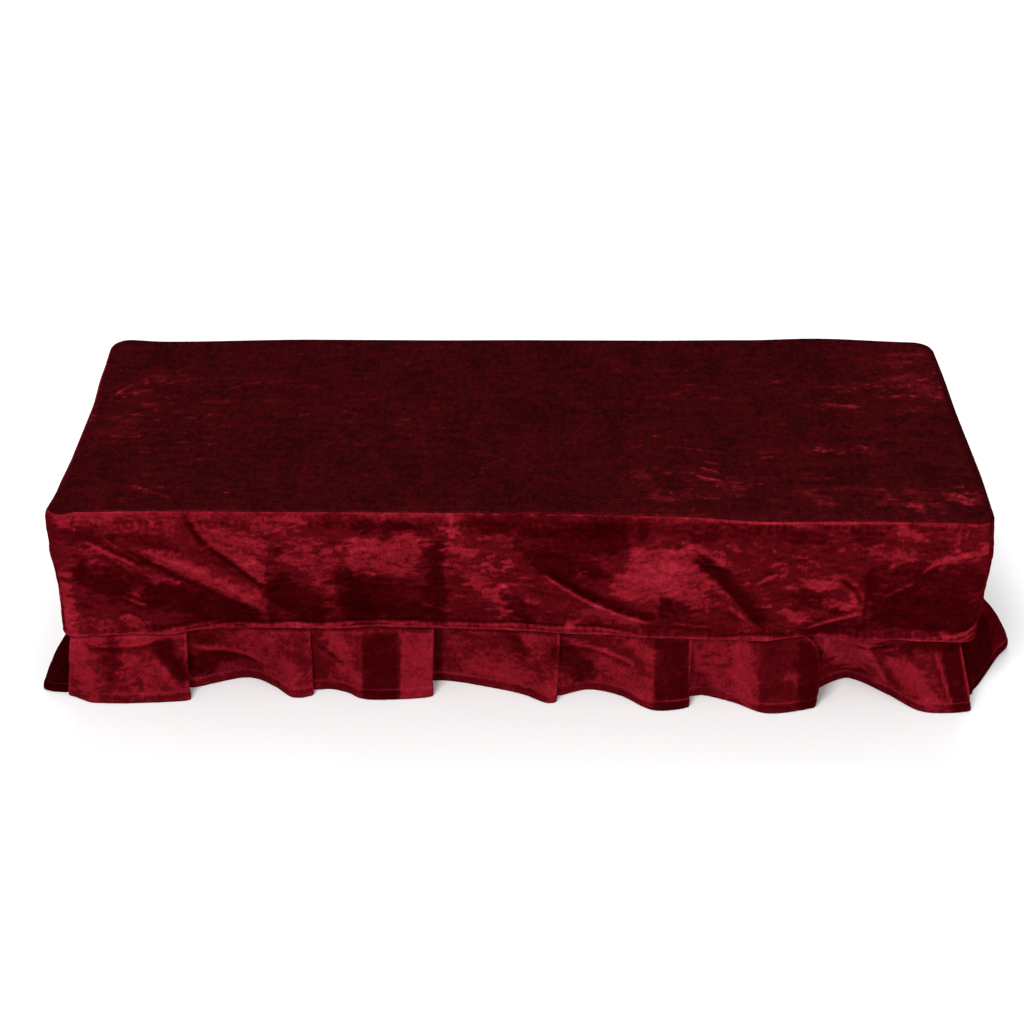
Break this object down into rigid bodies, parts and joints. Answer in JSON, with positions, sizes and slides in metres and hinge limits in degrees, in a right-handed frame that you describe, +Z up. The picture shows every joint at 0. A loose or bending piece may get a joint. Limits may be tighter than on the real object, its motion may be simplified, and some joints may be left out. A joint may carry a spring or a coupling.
{
  "type": "piano bench cover",
  "caption": "Fitted velvet cover for a bench: a flat rectangular top, an upright band round its sides and a short pleated skirt, hollow and open below.",
  "frame": {"origin": "middle of the top panel's underside, where the bench's seat bears", "axes": "+X along the cover's length, to the right seen from the front; +Z up; the front faces -Y"},
  "size_m": [0.8176, 0.3844, 0.1766],
  "materials": {
    "velvet": "crushed wine-red velvet pile, uneven nap"
  },
  "bodies": {
    "root": {"top_panel": "velvet", "band_front": "velvet", "band_right": "velvet", "band_back": "velvet", "band_left": "velvet", "skirt_front": "velvet", "skirt_right": "velvet", "skirt_back": "velvet", "skirt_left": "velvet"}
  },
  "joints": []
}
